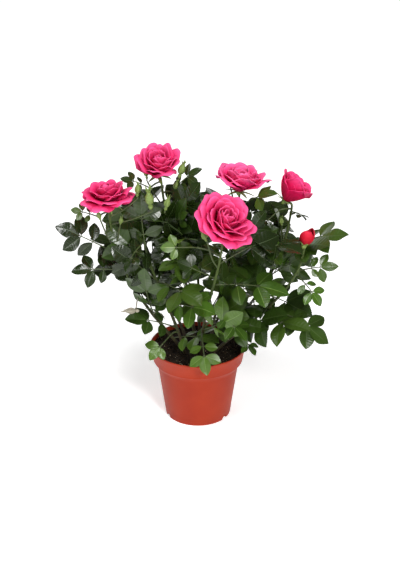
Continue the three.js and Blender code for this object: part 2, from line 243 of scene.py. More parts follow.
def add_tube(heap, path, radii, sides, lumps=None):
    """A round limb along a path, closed at both ends. lumps swell each point of each ring."""
    path = np.asarray(path, float)
    tangents = np.gradient(path, axis=0)
    side = square_to(np.array([1.0, 0.13, 0.07]), unit(tangents[0]))
    turns = circle(sides)
    points = []
    for i, centre in enumerate(path):
        along = unit(tangents[i])
        side = square_to(side, along)
        across = np.cross(along, side)
        ring = np.outer(np.cos(turns), side) + np.outer(np.sin(turns), across)
        swell = 1.0 if lumps is None else lumps[i][:, None]
        points.extend(centre + ring * radii[i] * swell)
    points += [path[0], path[-1]]
    heap.add(points, closed_faces(len(path), sides))


# ---- Reading the frame ----


def node_points(name):
    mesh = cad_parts[name].data
    flat = np.zeros(len(mesh.vertices) * 3)
    mesh.vertices.foreach_get("co", flat)
    return np.unique(np.round(flat.reshape(-1, 3), 6), axis=0)


def node_volume(name):
    form = bmesh.new()
    form.from_mesh(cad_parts[name].data)
    volume = form.calc_volume()
    form.free()
    return volume


def limb_rings(name, sides):
    """Centres and radii of the rings of a CAD limb, from its thick end to its thin end."""
    points = node_points(name)
    spread = points - points.mean(0)
    axis = np.linalg.svd(spread, full_matrices=False)[2][0]
    order = np.argsort(points @ axis)
    rings = points[order][: len(points) // sides * sides].reshape(-1, sides, 3)
    centres = rings.mean(1)
    radii = np.linalg.norm(rings - centres[:, None], axis=2).mean(1)
    if radii[0] < radii[-1]:
        centres, radii = centres[::-1], radii[::-1]
    return centres, radii


PETAL_EDGE = 92  # percentile of a bloom's points, by distance from its middle


def bloom_place(name):
    """Middle, facing, radius and half depth of a bloom's CAD solid."""
    points = node_points(name)
    facing = unit(np.array(BLOOMS[name]["facing"], float))
    heights = points @ facing
    middle = (points.min(0) + points.max(0)) / 2
    middle += facing * ((heights.min() + heights.max()) / 2 - middle @ facing)
    aside = (points - middle) - np.outer((points - middle) @ facing, facing)
    radius = np.percentile(np.linalg.norm(aside, axis=1), PETAL_EDGE)
    return middle, facing, radius, (heights.max() - heights.min()) / 2


# ---- Materials ----


def linear(red, green, blue):
    """A colour given as 0 to 255 display values, as Blender's linear values."""
    values = []
    for level in (red, green, blue):
        share = level / 255
        values.append(share / 12.92 if share <= 0.04045 else ((share + 0.055) / 1.055) ** 2.4)
    return (*values, 1.0)


def plain_material(name, colour, roughness, specular=0.5, coat=0.0):
    material = bpy.data.materials.new(name)
    material.use_nodes = True
    shader = material.node_tree.nodes["Principled BSDF"]
    shader.inputs["Base Color"].default_value = colour
    shader.inputs["Roughness"].default_value = roughness
    shader.inputs["Specular IOR Level"].default_value = specular
    shader.inputs["Coat Weight"].default_value = coat
    shader.inputs["Coat Roughness"].default_value = 0.25
    material.diffuse_color = colour
    return material


class Nodes:
    """A short way to add and join shader nodes in one material or world."""

    def __init__(self, owner):
        self.tree = owner.node_tree
        self.shader = self.tree.nodes.get("Principled BSDF")

    def add(self, kind, **settings):
        node = self.tree.nodes.new(kind)
        for key, value in settings.items():
            if key in node.inputs:
                node.inputs[key].default_value = value
            else:
                setattr(node, key, value)
        return node

    def link(self, source, output, target, socket):
        self.tree.links.new(source.outputs[output], target.inputs[socket])

    def ramp(self, stops):
        node = self.tree.nodes.new("ShaderNodeValToRGB")
        elements = node.color_ramp.elements
        while len(elements) < len(stops):
            elements.new(0.5)
        for element, (place, colour) in zip(elements, stops):
            element.position = place
            element.color = colour
        return node

    def noise(self, **settings):
        """A noise that is laid out in the piece's own metres."""
        place = self.add("ShaderNodeTexCoord")
        node = self.add("ShaderNodeTexNoise", **settings)
        self.link(place, "Object", node, "Vector")
        return node

    def waver(self, source, output, noise, share):
        """Another node's value with a share of a noise added."""
        node = self.add("ShaderNodeMath", operation="MULTIPLY_ADD")
        node.inputs[1].default_value = share
        self.link(noise, "Fac", node, 0)
        self.link(source, output, node, 2)
        return node

    def colour(self, source, output, stops):
        """The base colour, from a ramp over another node's value."""
        ramp = self.ramp(stops)
        self.link(source, output, ramp, "Fac")
        self.link(ramp, "Color", self.shader, "Base Color")

    def bump(self, noise, strength, distance):
        node = self.add("ShaderNodeBump", Strength=strength, Distance=distance)
        self.link(noise, "Fac", node, "Height")
        self.link(node, "Normal", self.shader, "Normal")


def pot_material():
    """Terracotta-coloured moulded plastic: faint cloudiness, fine matt grain."""
    material = plain_material("pot_plastic", linear(149, 42, 14), 0.5, specular=0.18)
    nodes = Nodes(material)
    cloud = nodes.noise(Scale=22.0, Detail=3.0)
    nodes.colour(cloud, "Fac", [(0.3, linear(142, 37, 11)), (0.7, linear(155, 46, 16))])
    nodes.bump(nodes.noise(Scale=900.0, Detail=2.0), 0.25, 0.0004)
    return material


def peat_material():
    """Dark brown peat with painted shade: near black in the hollows, brown on the crumbs."""
    material = plain_material("peat", linear(34, 26, 18), 0.95, specular=0.2)
    nodes = Nodes(material)
    crumbs = nodes.noise(Scale=420.0, Detail=6.0, Roughness=0.7)
    # The same noise that raises the crumbs paints shade near black into the hollows between them.
    stops = [(0.35, linear(14, 11, 8)), (0.55, linear(40, 30, 20)), (0.72, linear(84, 66, 44))]
    nodes.colour(crumbs, "Fac", stops)
    nodes.bump(crumbs, 0.8, 0.002)
    return material


# Heights between which the bark turns from brown to green.
BARK_GREENING = {"From Min": 0.09, "From Max": 0.24}


def bark_material():
    """Green rose bark with fine streaks, browner towards the peat."""
    material = plain_material("rose_bark", linear(60, 70, 34), 0.6, specular=0.25)
    nodes = Nodes(material)
    place = nodes.add("ShaderNodeTexCoord")
    stretch = nodes.add("ShaderNodeMapping", Scale=(1, 1, 0.25))
    streaks = nodes.add("ShaderNodeTexNoise", Scale=160.0, Detail=4.0)
    nodes.link(place, "Object", stretch, "Vector")
    nodes.link(stretch, "Vector", streaks, "Vector")
    height = nodes.add("ShaderNodeSeparateXYZ")
    nodes.link(place, "Object", height, "Vector")
    share = nodes.add("ShaderNodeMapRange", **BARK_GREENING)
    nodes.link(height, "Z", share, "Value")
    stops = [
        (0.25, linear(52, 42, 26)),
        (0.6, linear(54, 56, 28)),
        (0.95, linear(54, 66, 30)),
        (1.0, linear(64, 78, 34)),
    ]
    nodes.colour(nodes.waver(share, "Result", streaks, 0.5), "Value", stops)
    nodes.bump(streaks, 0.5, 0.0006)
    return material


# Petal colours: painted shade deep inside, the petal's own colour over most of it, and a painted
# highlight at its curled edge.
PETAL_HUES = {
    "rose": ((146, 6, 42), (210, 28, 92), (238, 86, 144)),
    "light": ((162, 10, 54), (224, 42, 110), (246, 108, 164)),
    "deep": ((130, 2, 30), (202, 12, 76), (232, 70, 130)),
    "red": ((110, 4, 16), (176, 12, 36), (206, 40, 66)),
}


def petal_material(hue):
    """Petal colour runs from painted shade at the base to a painted highlight on the curled edge."""
    deep, middle, pale = (linear(*colour) for colour in PETAL_HUES[hue])
    material = plain_material("petal_" + hue, middle, 0.65, specular=0.15)
    nodes = Nodes(material)
    tone = nodes.add("ShaderNodeAttribute", attribute_name="tone")
    flecks = nodes.noise(Scale=260.0, Detail=3.0)
    # The deep stop is painted shade and the pale stop a painted highlight; the flecks are the petal's
    # own random tone.
    stops = [(0.15, deep), (0.6, middle), (1.0, pale)]
    nodes.colour(nodes.waver(tone, "Fac", flecks, 0.12), "Value", stops)
    return material


LEAF_TONES = {
    DARK: [(30, 45, 12), (37, 53, 15), (25, 37, 10)],
    MIDDLE: [(46, 68, 18), (40, 61, 16), (55, 77, 22)],
    FRESH: [(60, 90, 22), (52, 79, 20), (70, 98, 28)],
    YOUNG: [(92, 114, 42), (78, 104, 34), (68, 94, 28)],
}
MIDRIBS = {DARK: (46, 60, 28), MIDDLE: (64, 84, 38), FRESH: (94, 122, 54), YOUNG: (122, 142, 76)}
LEAF_UNDERSIDE = (58, 76, 36)
SHADES_PER_TONE = 3
MIDRIB_PAINT = SHADES_PER_TONE * len(LEAF_TONES)
UNDERSIDE_PAINT = MIDRIB_PAINT + len(MIDRIBS)


def leaf_materials():
    """Three shades of each tone, a midrib for each tone, then the underside."""
    materials = []
    for tone, shades in LEAF_TONES.items():
        for i, colour in enumerate(shades):
            gloss = dict(roughness=0.24 + 0.04 * tone, specular=0.42, coat=0.06)
            materials.append(plain_material(f"leaf_green_{tone}_{i}", linear(*colour), **gloss))
    for tone, colour in MIDRIBS.items():
        materials.append(plain_material(f"leaf_midrib_{tone}", linear(*colour), 0.45))
    materials.append(plain_material("leaf_underside", linear(*LEAF_UNDERSIDE), 0.6))
    return materials


# ---- Leaflets ----

LEAFLET_SHAPES = 10
LEAFLET_COLUMNS = np.array([-1, -0.74, -0.4, -0.045, 0.045, 0.4, 0.74, 1.0])
LEAFLET_TEETH = 20
ROWS_PER_VEIN = 5

TOOTH_OUT, TOOTH_IN = 0.035, -0.015  # shares of the half width
VEIN_SWEEP = 0.55  # how far the margin runs ahead of the midrib, as a share of the half width
# Shares of the length.
TOOTH_AHEAD = 0.012
QUILT_RISE = 0.0045  # of the blade between its veins
GUTTER_DEPTH = 0.006  # of the midrib
LEAF_THICKNESS = 0.012


def leaflet_outline(s):
    """Half width at a share of the length, 1 at the broadest: a round base and a sharp tip."""
    swell, taper = 0.55, 0.82
    peak = swell / (swell + taper)
    return (s / peak) ** swell * ((1 - s) / (1 - peak)) ** taper


def leaflet(rng):
    """One toothed, veined leaflet of length 1 along +Y with its face up: points, faces, parts."""
    rows = 2 * LEAFLET_TEETH + 1
    broad = rng.uniform(0.29, 0.34)
    fold = rng.uniform(0.05, 0.26)
    curl = rng.uniform(0.05, 0.28)
    wave = rng.uniform(0.0, 0.024)
    phase = rng.uniform(0, 6.3)
    bow = rng.uniform(-0.05, 0.05)
    top = []
    for i in range(rows):
        s = i / (rows - 1)
        width = broad * leaflet_outline(s)
        tooth, ahead = (TOOTH_OUT, TOOTH_AHEAD) if i % 2 else (TOOTH_IN, 0)
        for t in LEAFLET_COLUMNS:
            side = abs(t)
            reach = 1 + (tooth if side == 1 else 0)
            x = t * width * reach
            y = s + VEIN_SWEEP * width * side * (1 - s) ** 0.7 + ahead * side
            vein = math.cos(2 * math.pi * i / ROWS_PER_VEIN)
            on_midrib = side < 0.1
            quilt = 0 if on_midrib else -QUILT_RISE * vein * (1 - side**3) * math.sin(math.pi * s)
            gutter = -GUTTER_DEPTH if on_midrib else 0
            ripple = wave * math.sin(9 * s + phase + (1.5 if t > 0 else 0)) * side**2
            z = fold * side * width - curl * max(0, y - 0.25) ** 2 + quilt + gutter + ripple
            top.append((x + bow * math.sin(math.pi * s), y, z - curl * 0.5 * x * x))
    top = np.array(top)
    columns = len(LEAFLET_COLUMNS)
    faces = grid_faces(rows, columns)
    middle = columns // 2 - 1
    parts = [1 if k % (columns - 1) == middle else 0 for k in range(len(faces))]
    # The underside meets the face at the margin and lies a little below it elsewhere.
    under = top.reshape(rows, columns, 3).copy()
    under[:, 1:-1, 2] -= LEAF_THICKNESS
    faces += [tuple(corner + len(top) for corner in reversed(face)) for face in faces]
    parts += [2] * len(parts)
    return np.vstack([top, under.reshape(-1, 3)]), faces, np.array(parts)


def add_leaflet(heap, shape, base, along, face, length, paint):
    """Places a leaflet from its base point, its direction and the way its face looks."""
    points, faces, parts = shape
    along = unit(along)
    face = square_to(face, along)
    across = np.cross(along, face)
    axes = np.stack([across, along, face])
    midrib = MIDRIB_PAINT + paint // SHADES_PER_TONE
    paints = np.where(parts == 0, paint, np.where(parts == 1, midrib, UNDERSIDE_PAINT))
    heap.add(base + (points @ axes) * length, faces, paints.tolist())


# ---- Compound leaves ----

PAIRS = ((0.96, 0.85, 64), (0.52, 0.7, 74))  # place on the stalk, size, degrees from the axis
STALK_RADIUS = 0.75 * MM
STALK_ARCH = 0.12  # rise of the stalk's middle, as a share of the leaf's length
STALK_STEPS = 12
FRESHER_SHARE = 0.25  # of the leaves of a dark mass that are one tone fresher
SHORTEST_LEAF = 82 * MM
LONGEST_LEAF = 110 * MM
LEAF_REACH = 1.15  # a leaf is this much longer than its way to the tip
FULL_LEAVES = 0.85  # share of a mass's leaves that have all their leaflets
LIGHT_SIDE = np.array([0.1, -1.0, 0.0])  # leaves turn their faces to this side
BEHIND = 36 * MM  # further back than this, they turn outwards instead


def compound_leaf(foliage, stalks, shapes, rng, base, tip, face, style, pairs):
    """A leaf of five leaflets, or three, from a point on a limb to its furthest tip."""
    way = tip - base
    length = np.linalg.norm(way)
    along = way / length
    face = square_to(face, along)
    bend = base + way * 0.5 + face * length * STALK_ARCH
    share = np.linspace(0, 1, STALK_STEPS + 1)[:, None]
    spine = (1 - share) ** 2 * base + 2 * share * (1 - share) * bend + share**2 * tip

    def on_spine(place):
        i = place * STALK_STEPS
        k = min(int(i), STALK_STEPS - 1)
        return spine[k] + (spine[k + 1] - spine[k]) * (i - k)

    start = 1 - style["terminal"]
    stalk = np.array([on_spine(p) for p in np.linspace(0, start + 0.02, 8)])
    radii = np.linspace(1.25, 0.7, 8) * STALK_RADIUS
    add_tube(stalks, stalk, radii, 6)
    fresher = 1 if style["tone"] == DARK and rng.random() < FRESHER_SHARE else 0
    paint = (style["tone"] + fresher) * SHADES_PER_TONE + int(rng.integers(SHADES_PER_TONE))
    size = length * style["terminal"]
    direction = unit(tip - on_spine(start))
    lift = rng.normal(0, 0.12)
    look = turned(square_to(face, direction), direction, lift)
    shape = shapes[rng.integers(len(shapes))]
    add_leaflet(foliage, shape, on_spine(start), direction, look, size, paint)
    for place, scale, degrees in PAIRS[:pairs]:
        joint = on_spine(place * start)
        ahead = unit(on_spine(place * start + 0.05) - joint)
        look = square_to(face, ahead)
        for side in (-1, 1):
            angle = math.radians(degrees + rng.normal(0, 7)) * side
            direction = turned(ahead, look, angle)
            droop = rng.uniform(0.0, 0.3)
            direction = unit(direction - look * droop)
            tilt = turned(look, ahead, side * rng.normal(0.05, 0.16))
            reach = size * scale * rng.uniform(0.9, 1.08)
            foot = joint + direction * 1.5 * MM
            add_tube(stalks, [joint, foot + direction * MM], [STALK_RADIUS * 0.7] * 2, 5)
            shape = shapes[rng.integers(len(shapes))]
            add_leaflet(foliage, shape, foot, direction, tilt, reach, paint)


def spread_tips(points, origin, count, first):
    """Picks far tips one after another, each as far as it can be from those before."""
    away = distances(points, origin)
    outer = points[away > np.percentile(away, 35)]
    tips = [first]
    while len(tips) < count:
        gaps = np.min([distances(outer, tip) for tip in tips], axis=0)
        tips.append(outer[np.argmax(gaps * distances(outer, origin) ** 0.7)])
    return tips


def leaf_base(tip, twig, limbs, wanted):
    """The point on a mass's own twig, or else on a limb near it, that suits a leaf."""
    choices = np.vstack([twig] + list(limbs.values()))
    cost = np.abs(distances(choices, tip) - wanted)
    outward = np.hypot(choices[:, 0], choices[:, 1]) - math.hypot(tip[0], tip[1])
    cost += np.maximum(0, outward + 0.2 * wanted)
    cost += 0.4 * np.maximum(0, choices[:, 2] - tip[2] - 0.2 * wanted)
    cost[len(twig) :] += 0.1 * wanted
    return choices[np.argmin(cost)]


def leaf_length(tip, entry, style, rng):
    wanted = LEAF_REACH * np.linalg.norm(tip - entry) * rng.uniform(0.9, 1.1)
    return min(max(wanted, SHORTEST_LEAF), LONGEST_LEAF) * style["size"]


def leaf_on_mass(name, limbs, foliage, stalks, shapes, rng):
    """Fills one mass with compound leaves that start on its own twig or on a limb near it."""
    style = {**USUAL_STYLE, **STYLES.get(name, {})}
    points = node_points(name)
    centre = points.mean(0)
    limb, entry, root = entry_to_mass(name, centre, limbs)
    furthest = points[np.argmax(distances(points, entry))]
    reach = np.linalg.norm(furthest - entry)
    first_leaf = leaf_length(furthest, entry, style, rng)
    if limb and reach < first_leaf:
        entry = root = end_limb_early(limbs, limb, furthest, first_leaf)
    twig_end = entry + (furthest - entry) * max(1 - first_leaf / reach, 0.06)
    middle = (root + twig_end) / 2 + UP * 0.08 * np.linalg.norm(twig_end - root)
    twig = smooth_path([root, middle, twig_end], 12)
    add_tube(stalks, twig, np.linspace(1.2, 1.0, 12) * MM, 7)
    count = max(1, round(node_volume(name) / LEAF_ROOM * style["share"]))
    outward = unit(np.array([centre[0], centre[1], 0.0]))
    if centre[1] < BEHIND:
        outward = unit(outward * 0.4 + LIGHT_SIDE)
    for i, tip in enumerate(spread_tips(points, entry, count, furthest)):
        base = twig_end
        if i:
            base = leaf_base(tip, twig, limbs, leaf_length(tip, entry, style, rng))
        face = UP * 0.8 + outward * 0.6 + rng.normal(0, 0.2, 3)
        pairs = style["pairs"] if i == 0 or rng.random() < FULL_LEAVES else 1
        compound_leaf(foliage, stalks, shapes, rng, base, tip, face, style, pairs)


def end_limb_early(limbs, limb, tip, distance):
    """Ends a limb where a leaf of that length to the tip starts, and gives that point."""
    path = limbs[limb]
    far = np.nonzero(distances(path, tip) >= distance)[0]
    last = max(far[-1] if len(far) else 0, len(path) // 3)
    limbs[limb] = path[: last + 1]
    return path[last]


def entry_to_mass(name, centre, limbs):
    """The limb that carries a mass, where it enters, and where the twig to it starts."""
    for limb, load in LOADS.items():
        if load == name:
            return limb, limbs[limb][-1], limbs[limb][-1]
    every = np.vstack(list(limbs.values()))
    lower = every[every[:, 2] < centre[2] + 5 * MM]
    root = nearest(lower, centre)
    return None, nearest(node_points(name), root), root


# ---- Blooms ----

PETAL_ROWS = 17
PETAL_COLUMNS = 19
PETAL_STEPS = 24  # along the curve that a petal follows from its foot to its tip
PETAL_THICKNESS = 0.35 * MM


def petal(rng, ring, azimuth, size, opened, flare):
    """One petal about the local +Z axis. ring is 0 for the innermost and 1 for the outermost."""
    spread = ring * opened
    shut = 1 - opened
    base_lean = math.radians(58 * shut + opened * (22 + 62 * spread))
    middle_lean = math.radians((4 * ring - 2) * shut + opened * (64 * spread - 8))
    middle_lean += math.radians(rng.normal(0, 3))
    tip_lean = math.radians((16 * ring - 62) * shut + opened * (146 * spread**0.85 - 26))
    tip_lean += math.radians(flare * ring**2 + rng.normal(0, 2 + 6 * opened))
    length = size * (0.66 + 0.36 * ring) * rng.uniform(0.94, 1.05)
    half_width = size * (0.3 + 0.4 * ring) * rng.uniform(0.92, 1.08)
    roll = size * (0.02 + 0.26 * spread) * rng.uniform(0.7, 1.3)
    twist = 0.2 * (1 - ring) + 0.04
    phase = rng.uniform(0, 6.3)
    lopsided = rng.uniform(-0.12, 0.12)
    radius, height = size * 0.05, 0.0
    curve = []
    for i in range(PETAL_STEPS + 1):
        v = i / PETAL_STEPS
        lean = base_lean * (1 - v) ** 2 + 2 * middle_lean * v * (1 - v) + tip_lean * v**2
        lean += math.radians(50 * spread) * max(0, (v - 0.8) / 0.2) ** 2
        curve.append((radius, height, lean))
        radius = max(radius + math.sin(lean) * length / PETAL_STEPS, size * 0.02)
        height += math.cos(lean) * length / PETAL_STEPS
    curve = np.array(curve)
    points, shade_and_highlight = [], []
    for v in np.linspace(0, 1, PETAL_ROWS):
        for u in np.linspace(-1, 1, PETAL_COLUMNS):
            v_here = v * (1 - 0.24 * abs(u + lopsided * v) ** 2.1)
            place = min(v_here, 1.0) * PETAL_STEPS
            k = min(int(place), PETAL_STEPS - 1)
            r, z, lean = curve[k] + (curve[k + 1] - curve[k]) * (place - k)
            broad = half_width * (0.26 + 0.74 * math.sin(min(1, v_here / 0.66) * math.pi / 2))
            broad *= 1 - 0.3 * max(0, (v - 0.7) / 0.3) ** 2
            wrap = max(r, size * 0.1) * (1.0 + 0.45 * ring) + size * 0.04
            angle = azimuth + u * broad / wrap
            back = roll * max(0, (abs(u) - 0.3) / 0.7) ** 2 * v_here**1.5
            back += 0.03 * size * math.sin(2.6 * u + phase) * v_here**2
            r_here = r * (1 + twist * u) + math.cos(lean) * back
            z_here = z - math.sin(lean) * back
            points.append((r_here * math.cos(angle), r_here * math.sin(angle), z_here))
            # Painted light: each petal is darkest at its foot, painted shade between the petals, and
            # palest at its tip and curled edges, a painted highlight. Outer petals and the tips of the
            # innermost are a little paler.
            edge = max(v_here, abs(u) * 0.9 * v)
            heart = 0.3 * max(0, 1 - ring / 0.2) * v_here
            shade_and_highlight.append(0.18 + 0.7 * edge**2.4 + 0.12 * ring + heart)
    return np.array(points), shade_and_highlight


def solid_sheet(points, rows, columns, thickness):
    """A grid of points made into a thin closed sheet."""
    grid = points.reshape(rows, columns, 3)
    down = np.gradient(grid, axis=0)
    across = np.gradient(grid, axis=1)
    normal = np.cross(across, down)
    normal /= np.maximum(np.linalg.norm(normal, axis=2, keepdims=True), 1e-12)
    front = (grid + normal * thickness / 2).reshape(-1, 3)
    back = (grid - normal * thickness / 2).reshape(-1, 3)
    size = rows * columns
    faces = grid_faces(rows, columns)
    faces += [tuple(corner + size for corner in reversed(face)) for face in faces]
    rim = list(range(columns))
    rim += [i * columns + columns - 1 for i in range(1, rows)]
    rim += [(rows - 1) * columns + j for j in range(columns - 2, -1, -1)]
    rim += [i * columns for i in range(rows - 2, 0, -1)]
    for a, b in zip(rim, rim[1:] + rim[:1]):
        faces.append((b, a, a + size, b + size))
    return np.vstack([front, back]), faces


def axes_about(facing, turn=0.0):
    """Rows of a matrix that carries local +Z to facing, turned about it."""
    guide = np.array([0.3, 0.2, 1.0]) if abs(facing[2]) < 0.8 else np.array([1.0, 0, 0])
    side = turned(square_to(guide, facing), facing, turn)
    return np.stack([side, np.cross(facing, side), facing])


def build_bloom(name, rng, materials, greens):
    """The petals and calyx of one bloom, fitted to its CAD solid. Gives the top of its stalk."""
    middle, facing, radius, half_depth = bloom_place(name)
    opened, count = BLOOMS[name]["opened"], BLOOMS[name]["petals"]
    is_bud = opened < 0.5
    heap = Heap()
    size = half_depth * 1.7 if is_bud else radius
    for i in range(count):
        ring = (i / (count - 1)) ** 0.9
        azimuth = i * GOLDEN_ANGLE + rng.normal(0, 0.12)
        points, shade_and_highlight = petal(rng, ring, azimuth, size, opened, BLOOMS[name]["flare"])
        points, faces = solid_sheet(points, PETAL_ROWS, PETAL_COLUMNS, PETAL_THICKNESS)
        heap.add(points, faces, 0, shade_and_highlight + shade_and_highlight)
    cloud = np.vstack(heap.points)
    spread = np.percentile(np.hypot(cloud[:, 0], cloud[:, 1]), 99.5)
    widen = 1.04 * radius / spread
    deepen = 2 * half_depth / (cloud[:, 2].max() - cloud[:, 2].min())
    scale = np.array([widen, widen, min(max(deepen, 0.85 * widen), 1.6 * widen)])
    axes = axes_about(facing)
    base = middle - facing * (cloud[:, 2].max() + cloud[:, 2].min()) / 2 * scale[2]
    heap.points = [base + (points * scale) @ axes for points in heap.points]
    # The tone attribute carries each petal's painted shade and painted highlight to its material.
    bloom = heap.build(name + "_petals", materials, "tone")
    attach(bloom, "root")
    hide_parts(name)
    add_calyx(greens, rng, base, facing, radius * (0.9 if is_bud else 0.55), opened)
    return base - facing * 5 * MM


# ---- Calyx, sepals and green buds ----

SEPALS = 5
SEPAL_COLUMNS = 5


def sepal(length, width, lean_start, lean_end, foot_radius):
    """A narrow green leaf from the foot of a bloom, about local +Z."""
    rows = 9
    radius, height = foot_radius, 0.0
    points = []
    for i in range(rows):
        v = i / (rows - 1)
        broad = width * (1 - v) ** 0.75 * (0.75 + 0.25 * math.sin(v * math.pi))
        for u in np.linspace(-1, 1, SEPAL_COLUMNS):
            cup = 0.25 * broad * u * u
            points.append((radius - cup, u * broad, height))
        lean = lean_start + (lean_end - lean_start) * v
        radius += math.sin(lean) * length / (rows - 1)
        height += math.cos(lean) * length / (rows - 1)
    return np.array(points), rows


def add_calyx(greens, rng, base, facing, length, opened):
    """The hip and five sepals under a bloom."""
    heights = np.array([-5.5, -4, -2, 0, 1.5]) * MM
    radii = np.array([1.3, 2.6, 3.3, 3.0, 2.2]) * MM
    add_tube(greens, base + np.outer(heights, facing), radii, 10)
    start = math.radians(50 + 60 * opened)
    end = math.radians(20 + 130 * opened)
    for i in range(SEPALS):
        points, rows = sepal(length, 3.2 * MM, start, end, 2.6 * MM)
        axes = axes_about(facing, i * 2 * math.pi / SEPALS + rng.normal(0, 0.1))
        greens.add(*solid_sheet(points @ axes + base, rows, SEPAL_COLUMNS, 0.4 * MM))


def green_bud(greens, rng, base, facing, length, leafy):
    """A closed bud: hip, five sepals shut round it, and their drawn-out tips."""
    facing = unit(facing)
    axes = axes_about(facing, rng.uniform(0, 6))
    shares = np.linspace(0, 1, 10)
    swell = np.sin(np.pi * shares**0.8) ** 0.8 * 0.24 * length + 0.3 * MM
    path = base + np.outer(shares * length, facing)
    add_tube(greens, path, swell, 10)
    heights = np.array([-0.32, -0.2, -0.08, 0.03]) * length
    hip = np.array([0.09, 0.16, 0.17, 0.1]) * length
    add_tube(greens, base + np.outer(heights, facing), hip, 8)
    rows = 10
    for i in range(SEPALS):
        reach = length * rng.uniform(1.15, 1.45)
        turn = i * 2 * math.pi / SEPALS
        points = []
        for r in range(rows):
            v = r / (rows - 1)
            z = v * reach
            shell = 0
            if z < length:
                shell = 0.25 * length * math.sin(math.pi * (z / length) ** 0.8) ** 0.8
            out = shell + 0.5 * MM + max(0, z - 0.9 * length) * 0.35 * leafy
            broad = 0.17 * length * leafy * (1 - v) ** 0.7 * (0.6 + 0.4 * math.sin(v * math.pi))
            for u in np.linspace(-1, 1, SEPAL_COLUMNS):
                angle = turn + u * broad / max(out, 1.5 * MM)
                points.append((out * math.cos(angle), out * math.sin(angle), z))
        greens.add(*solid_sheet(np.array(points) @ axes + base, rows, SEPAL_COLUMNS, 0.35 * MM))


# Green buds stand beside the blooms of the same cane: offset from the middle of the bloom
# in millimetres, the way the bud points, its length, and the size of its sepals.
BUDS = [
    ("bloom_left", (36, -2, 2), (0.1, -0.1, 1), 12, 1.3),
    ("bloom_left", (51, -10, -9), (-0.1, -0.2, 1), 18, 1.9),
    ("bloom_left", (69, -5, -14), (0.25, -0.1, 1), 12, 1.3),
    ("bloom_left", (-8, -8, -26), (-0.2, -0.4, 1), 9, 1.0),
    ("bloom_left", (16, -8, -32), (0.2, -0.4, 1), 8, 1.0),
    ("bloom_top_left", (26, -6, -12), (0.3, -0.1, 1), 15, 1.6),
    ("bloom_top_left", (20, -8, -30), (0.25, -0.2, 1), 11, 1.2),
    ("bloom_right", (-14, -16, -38), (-0.1, -0.4, 1), 9, 1.0),
    ("bloom_centre", (-22, 6, -26), (-0.4, -0.3, 1), 10, 1.2),
    ("bloom_top_right", (-12, 34, -12), (-0.1, 0.4, 1), 11, 1.1),
    ("bloom_top_left", (-16, 36, -30), (-0.2, 0.4, 1), 10, 1.1),
]
BUD_STALK = 46 * MM

# The withered bud: its place as shares of a mass's box, and its length in millimetres.
DRIED_BUD = {
    "node": "leaves_left_low",
    "place": (0.22, 0.2, 0.55),
    "points_to": (-1, -0.2, 0.1),
    "length": 13,
}


def build_dried_bud(limbs, rng):
    """A bud that withered unopened, on a bent stalk low on the left."""
    low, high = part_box(DRIED_BUD["node"])
    spot = np.array([low[k] + (high[k] - low[k]) * DRIED_BUD["place"][k] for k in range(3)])
    facing = unit(np.array(DRIED_BUD["points_to"]))
    root = nearest(np.vstack(list(limbs.values())), spot)
    heap = Heap()
    stalk = smooth_path([root, (root + spot) / 2 + UP * 4 * MM, spot], 8)
    add_tube(heap, stalk, [0.7 * MM] * 8, 6)
    green_bud(heap, rng, spot, facing, DRIED_BUD["length"] * MM, 1.2)
    piece = heap.build("dried_bud", [plain_material("dried_petals", linear(146, 140, 124), 0.85)])
    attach(piece, "root")


def build_buds(greens, stalks, limbs, rng):
    """Every green bud, on its own bent stalk."""
    every = np.vstack(list(limbs.values()))
    for bloom, offset, points_to, length, leafy in BUDS:
        spot = bloom_place(bloom)[0] + np.array(offset) * MM
        facing = unit(np.array(points_to, float))
        below = every[every[:, 2] < spot[2] - 0.6 * BUD_STALK]
        root = below[np.argmin(np.abs(distances(below, spot) - BUD_STALK))]
        foot = spot - facing * 0.3 * length * MM
        middle = (root + foot) / 2
        middle[2] = root[2] + (foot[2] - root[2]) * 0.35
        path = smooth_path([root, middle, foot - facing * 4 * MM, foot], 12)
        add_tube(stalks, path, np.linspace(1.0, 0.8, 12) * MM, 7)
        green_bud(greens, rng, spot, facing, length * MM, leafy)


# ---- Canes ----

CANE_RINGS = 70
BOUGH_RINGS = 24
CANE_ROUND = 12  # corners of each ring of bark
LIMB_STEPS = 60  # points of a limb's middle line
KNOT_SWELL = 0.16  # of the radius, where a leaf scar rings the bark
BARK_RELIEF = 0.07  # of the radius
PRICKLES = 9  # on each cane
BOUGH_PRICKLES = 2


def all_limb_rings():
    """Ring centres and radii of every cane and bough, as read from the frame."""
    rings = {name: limb_rings(name, CANE_SIDES) for name in CANES}
    return {**rings, **{name: limb_rings(name, BOUGH_SIDES) for name in BOUGHS}}


